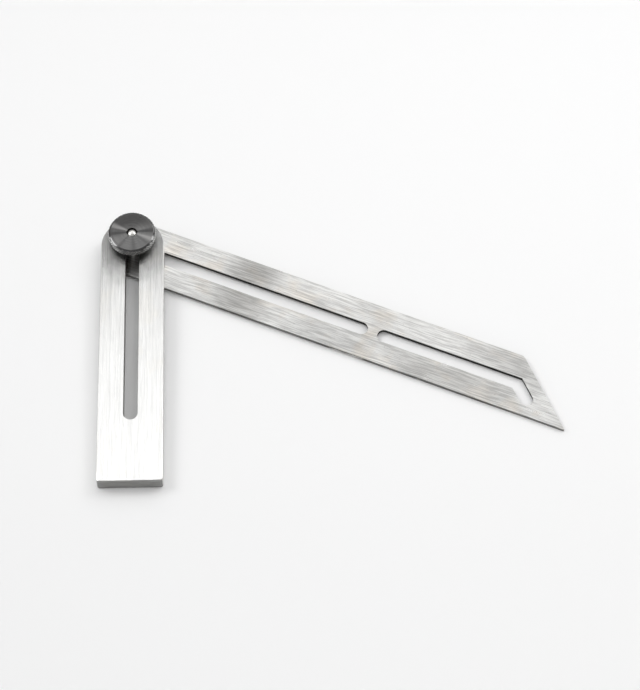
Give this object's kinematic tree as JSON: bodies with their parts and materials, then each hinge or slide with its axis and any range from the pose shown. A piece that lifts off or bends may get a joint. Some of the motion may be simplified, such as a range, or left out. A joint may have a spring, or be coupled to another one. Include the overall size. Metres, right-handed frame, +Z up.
{
  "type": "angle finder",
  "caption": "Sliding bevel for setting and copying angles: a slotted stock and a slotted, pointed blade held face to face by a bolt and a knurled thumb nut.",
  "frame": {"origin": "on the clamp bolt's axis, at the underside of its head", "axes": "+Z up the bolt towards the knurled nut, -Y along the stock towards its square end, +X to the side the blade points to"},
  "size_m": [0.1811, 0.1205, 0.0147],
  "materials": {
    "stock_steel": "satin, ground lengthwise",
    "blade_steel": "ground lengthwise",
    "bolt_steel": "bright, turned",
    "washer_steel": "satin",
    "nut_black": "black oxide, turned and knurled"
  },
  "bodies": {
    "stock": {"stock": "stock_steel"},
    "washer": {"washer": "washer_steel"},
    "clamp_bolt": {"clamp_bolt": "bolt_steel"},
    "blade": {"blade": "blade_steel"},
    "knurled_nut": {"knurled_nut": "nut_black"}
  },
  "joints": [
    {"name": "clamp_travel", "type": "slide", "parent": "stock", "child": "washer", "axis": [0, -1, 0], "range_m": [0, 0.08]},
    {"name": "blade_swivel", "type": "hinge", "parent": "washer", "child": "clamp_bolt", "pos_m": [0, 0, 0.01], "axis": [0, 0, 1], "continuous": true},
    {"name": "blade_travel", "type": "slide", "parent": "clamp_bolt", "child": "blade", "axis": [-0.9153, 0.4027, 0], "range_m": [0, 0.098]},
    {"name": "nut_turn", "type": "hinge", "parent": "clamp_bolt", "child": "knurled_nut", "pos_m": [0, 0, 0.013], "axis": [0, 0, 1], "range_deg": [0, 360]}
  ]
}
